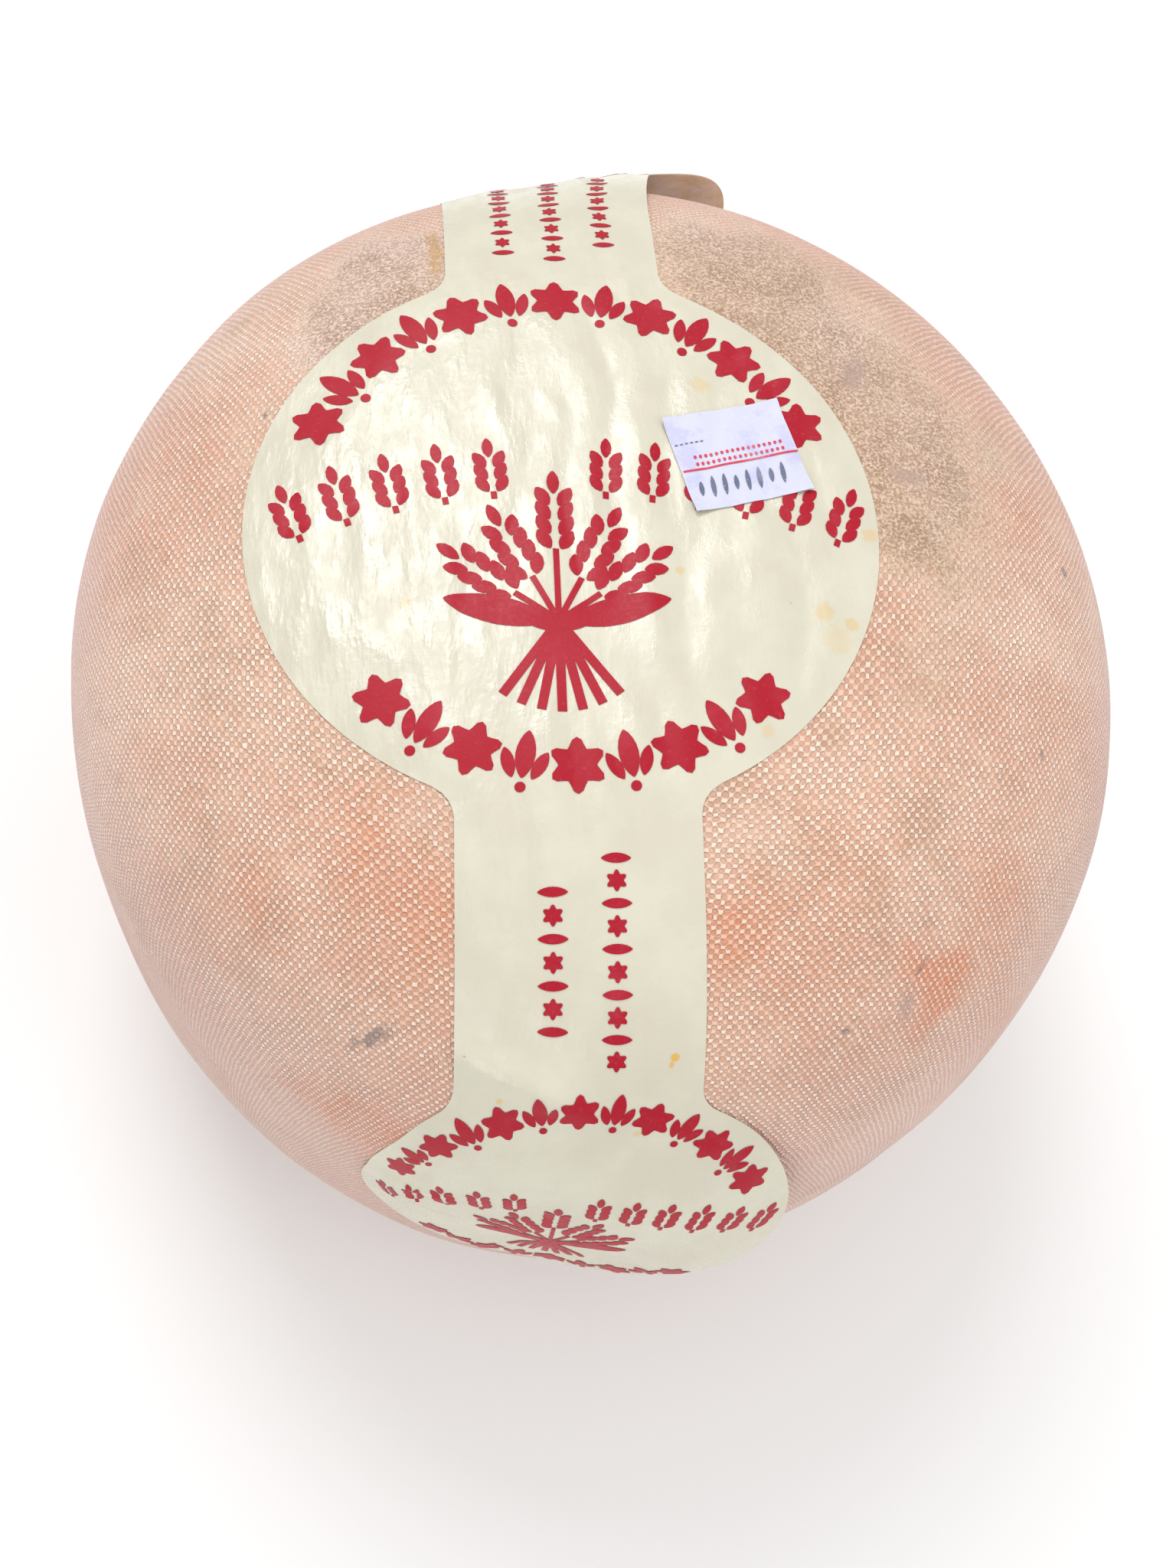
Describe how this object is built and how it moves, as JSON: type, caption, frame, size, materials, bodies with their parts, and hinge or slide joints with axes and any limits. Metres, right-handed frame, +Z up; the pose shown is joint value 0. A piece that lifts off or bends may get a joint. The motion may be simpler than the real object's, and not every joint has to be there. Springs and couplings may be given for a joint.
{
  "type": "cheese wheel",
  "caption": "Whole ball-shaped cheese flattened at both poles, with a cloth-marked orange rind, a die-cut paper label band over the crown and a small date sticker.",
  "frame": {"origin": "middle of the flat face that the wheel rests on, on the wheel's own axis", "axes": "+Z up through the middle of the crown; the label band runs along Y over the crown, its front end at -Y; +X is to the right seen from the front"},
  "size_m": [0.1944, 0.2164, 0.1502],
  "materials": {
    "cheese_rind": "dry cheese rind, pinkish orange under a pale bloom, pressed with the weave of its cloth",
    "label_paper": "cream paper with a satin face",
    "label_ink": "crimson print, satin",
    "sticker_paper": "white self-adhesive paper, semi-matt"
  },
  "bodies": {
    "root": {"cheese_wheel": "cheese_rind", "label_band": "label_paper", "date_sticker": "sticker_paper"}
  },
  "joints": []
}
